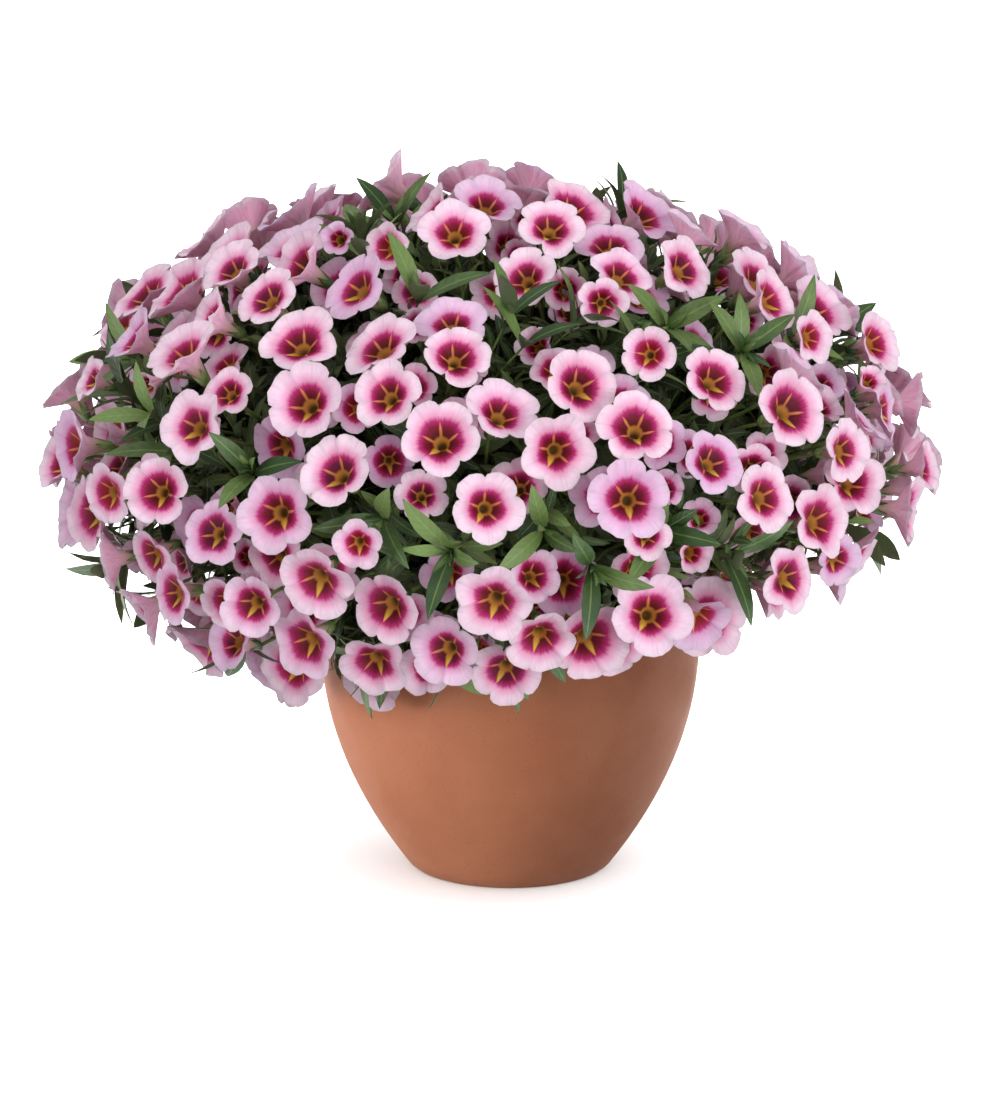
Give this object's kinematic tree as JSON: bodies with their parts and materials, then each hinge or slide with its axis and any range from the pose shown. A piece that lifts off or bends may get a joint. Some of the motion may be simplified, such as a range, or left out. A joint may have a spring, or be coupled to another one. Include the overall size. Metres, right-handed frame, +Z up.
{
  "type": "potted calibrachoa",
  "caption": "Bedding plant in full flower in a round clay pot: a low mound of small pink trumpet blooms with dark eyes over small leaves, hanging over the rim.",
  "frame": {"origin": "centre of the pot's flat foot", "axes": "+Z up along the pot's axis, +X to the right and -Y towards the viewer in the picture"},
  "size_m": [0.3667, 0.3685, 0.2947],
  "materials": {
    "terracotta": "matte",
    "potting_mix": "matte",
    "petals": "matte",
    "foliage": "satin"
  },
  "bodies": {
    "root": {"pot": "terracotta", "potting_mix": "potting_mix", "flowering_shoot_01": "petals", "flowering_shoot_02": "petals", "flowering_shoot_03": "petals", "flowering_shoot_04": "petals", "flowering_shoot_05": "petals", "flowering_shoot_06": "petals", "flowering_shoot_07": "petals", "flowering_shoot_08": "petals", "flowering_shoot_09": "petals", "flowering_shoot_10": "petals", "flowering_shoot_11": "petals", "flowering_shoot_12": "petals", "flowering_shoot_13": "petals", "flowering_shoot_14": "petals", "flowering_shoot_15": "petals", "flowering_shoot_16": "petals", "flowering_shoot_17": "petals", "flowering_shoot_18": "petals", "flowering_shoot_19": "petals", "flowering_shoot_20": "petals", "flowering_shoot_21": "petals", "flowering_shoot_22": "petals", "flowering_shoot_23": "petals", "flowering_shoot_24": "petals", "flowering_shoot_25": "petals", "leafy_shoot_01": "foliage", "leafy_shoot_02": "foliage", "leafy_shoot_03": "foliage", "leafy_shoot_04": "foliage", "leafy_shoot_05": "foliage", "leafy_shoot_06": "foliage", "leafy_shoot_07": "foliage", "leafy_shoot_08": "foliage", "leafy_shoot_09": "foliage", "leafy_shoot_10": "foliage", "leafy_shoot_11": "foliage", "leafy_shoot_12": "foliage", "leafy_shoot_13": "foliage", "leafy_shoot_14": "foliage", "leafy_shoot_15": "foliage", "leafy_shoot_16": "foliage", "leafy_shoot_17": "foliage", "leafy_shoot_18": "foliage", "leafy_shoot_19": "foliage", "leafy_shoot_20": "foliage", "leafy_shoot_21": "foliage", "leafy_shoot_22": "foliage", "leafy_shoot_23": "foliage", "leafy_shoot_24": "foliage", "leafy_shoot_25": "foliage"}
  },
  "joints": []
}
